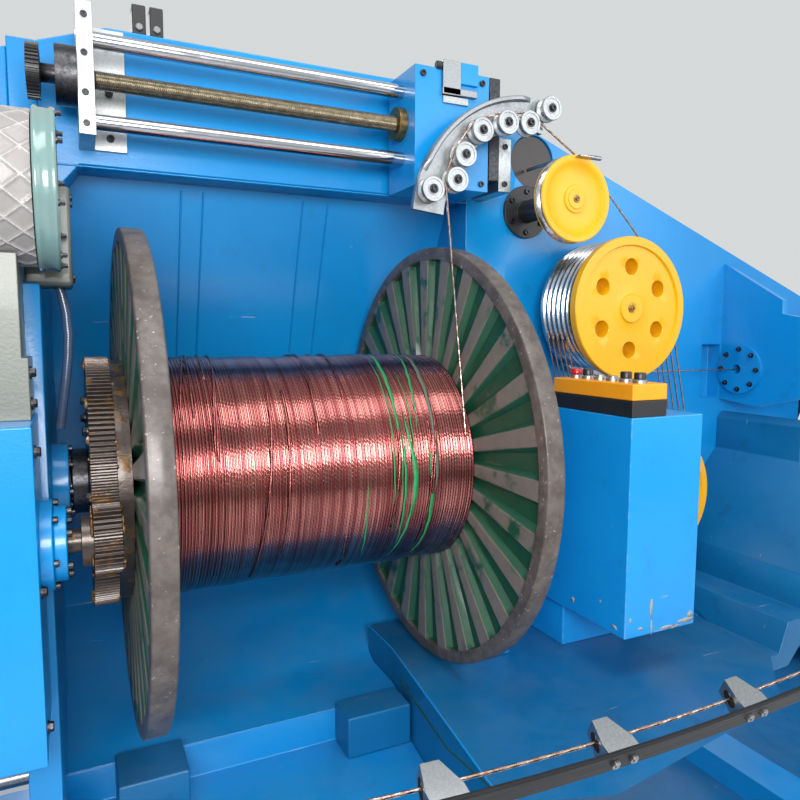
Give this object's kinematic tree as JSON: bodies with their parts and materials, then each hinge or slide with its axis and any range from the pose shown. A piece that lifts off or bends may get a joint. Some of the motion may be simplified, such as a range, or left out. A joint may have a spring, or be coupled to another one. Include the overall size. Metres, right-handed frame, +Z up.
{
  "type": "double twist bunching machine",
  "caption": "Double twist bunching machine: two bows swing round a level cradle with a reel, traverse, capstans and drive.",
  "frame": {"origin": "on the floor under the rotor axis, half way along it, at the underside of the middle cross member", "axes": "+X along the rotor axis, +Y towards the rear wall of the cradle, +Z up"},
  "size_m": [5.804, 2.4232, 2.599],
  "materials": {
    "machine_blue": "gloss paint",
    "grey_green": "gloss paint",
    "yellow_paint": "gloss paint",
    "reel_green": "worn paint",
    "copper": "bright strand",
    "steel": "ground",
    "chrome": "polished",
    "gear_steel": "greased",
    "black": "satin",
    "aluminium": "cast",
    "bronze": "greased",
    "belt": "matt",
    "orange": "gloss",
    "button": "gloss",
    "bow_black": "satin"
  },
  "bodies": {
    "root": {"base_frame": "machine_blue", "cabinet": "machine_blue", "console": "orange", "console_buttons": "button", "deck": "machine_blue", "drive_belts": "belt", "drive_box": "machine_blue", "hull": "machine_blue", "left_bulkhead": "machine_blue", "left_headstock": "machine_blue", "left_nose": "machine_blue", "left_side_member": "machine_blue", "limit_switches": "black", "line_shaft": "steel", "main_motor": "grey_green", "rear_wall": "machine_blue", "right_headstock": "machine_blue", "right_nose": "machine_blue", "right_side_member": "machine_blue", "screw_bearings": "black", "strand_runs": "copper", "tailstock": "machine_blue", "take_up_gearbox": "grey_green", "take_up_motor": "grey_green", "terminal_box": "grey_green", "top_beam": "machine_blue", "traverse_brackets": "aluminium", "traverse_rods": "chrome", "trough_blocks": "machine_blue", "wheel_mount": "black"},
    "rotor": {"left_flyer": "machine_blue", "right_flyer": "machine_blue", "bow_with_strand": "bow_black", "balance_bow": "bow_black", "bow_guides": "aluminium", "turn_wheels": "steel", "bow_strand": "copper"},
    "reel": {"reel_flanges": "reel_green", "wound_strand": "copper", "pintles": "black", "reel_gear": "gear_steel"},
    "pinion": {"pinion": "gear_steel"},
    "upper_capstan": {"upper_capstan": "yellow_paint"},
    "lower_capstan": {"lower_capstan": "yellow_paint"},
    "guide_wheel": {"guide_wheel": "yellow_paint"},
    "lead_screw": {"lead_screw": "steel"},
    "carriage": {"carriage": "machine_blue", "screw_nut": "bronze", "carriage_sensor": "machine_blue", "arc_guide": "aluminium", "strand_on_rollers": "copper", "strand_span": "copper"},
    "roller_1": {"guide_roller_1": "aluminium"},
    "roller_2": {"guide_roller_2": "aluminium"},
    "roller_3": {"guide_roller_3": "aluminium"},
    "roller_4": {"guide_roller_4": "aluminium"},
    "roller_5": {"guide_roller_5": "aluminium"},
    "roller_6": {"guide_roller_6": "aluminium"},
    "roller_7": {"guide_roller_7": "aluminium"}
  },
  "joints": [
    {"name": "rotor_spin", "type": "hinge", "parent": "root", "child": "rotor", "pos_m": [0, 0, 1.58], "axis": [1, 0, 0], "continuous": true},
    {"name": "reel_spin", "type": "hinge", "parent": "root", "child": "reel", "pos_m": [-0.3, -0.08, 1.353], "axis": [1, 0, 0], "continuous": true},
    {"name": "pinion_spin", "type": "hinge", "parent": "root", "child": "pinion", "pos_m": [-0.834, -0.45054, 1.30224], "axis": [1, 0, 0], "continuous": true},
    {"name": "carriage_traverse", "type": "slide", "parent": "root", "child": "carriage", "axis": [-1, 0, 0], "range_m": [0, 0.755], "deforming": ["strand_span"]},
    {"name": "screw_spin", "type": "hinge", "parent": "root", "child": "lead_screw", "pos_m": [0, -0.03, 2.345], "axis": [1, 0, 0], "range_deg": [0, 13590.5]},
    {"name": "upper_capstan_spin", "type": "hinge", "parent": "root", "child": "upper_capstan", "pos_m": [0.854, -0.08, 1.8083], "axis": [0, 1, 0], "continuous": true},
    {"name": "lower_capstan_spin", "type": "hinge", "parent": "root", "child": "lower_capstan", "pos_m": [1.014, -0.08, 1.147], "axis": [0, 1, 0], "continuous": true},
    {"name": "guide_wheel_spin", "type": "hinge", "parent": "root", "child": "guide_wheel", "pos_m": [0.598, -0.168, 2.147], "axis": [0, 1, 0], "continuous": true},
    {"name": "roller_1_spin", "type": "hinge", "parent": "carriage", "child": "roller_1", "pos_m": [0.064, -0.215, 2.122], "axis": [0, 1, 0], "continuous": true},
    {"name": "roller_2_spin", "type": "hinge", "parent": "carriage", "child": "roller_2", "pos_m": [0.141, -0.215, 2.155], "axis": [0, 1, 0], "continuous": true},
    {"name": "roller_3_spin", "type": "hinge", "parent": "carriage", "child": "roller_3", "pos_m": [0.167, -0.215, 2.227], "axis": [0, 1, 0], "continuous": true},
    {"name": "roller_4_spin", "type": "hinge", "parent": "carriage", "child": "roller_4", "pos_m": [0.223, -0.215, 2.301], "axis": [0, 1, 0], "continuous": true},
    {"name": "roller_5_spin", "type": "hinge", "parent": "carriage", "child": "roller_5", "pos_m": [0.309, -0.215, 2.333], "axis": [0, 1, 0], "continuous": true},
    {"name": "roller_6_spin", "type": "hinge", "parent": "carriage", "child": "roller_6", "pos_m": [0.386, -0.215, 2.341], "axis": [0, 1, 0], "continuous": true},
    {"name": "roller_7_spin", "type": "hinge", "parent": "carriage", "child": "roller_7", "pos_m": [0.463, -0.215, 2.393], "axis": [0, 1, 0], "continuous": true}
  ],
  "couplings": [
    {"joint": "pinion_spin", "follows": "reel_spin", "ratio": -4.5},
    {"joint": "screw_spin", "follows": "carriage_traverse", "rad_per_m": 314.16},
    {"joint": "lower_capstan_spin", "follows": "upper_capstan_spin", "ratio": 1}
  ]
}
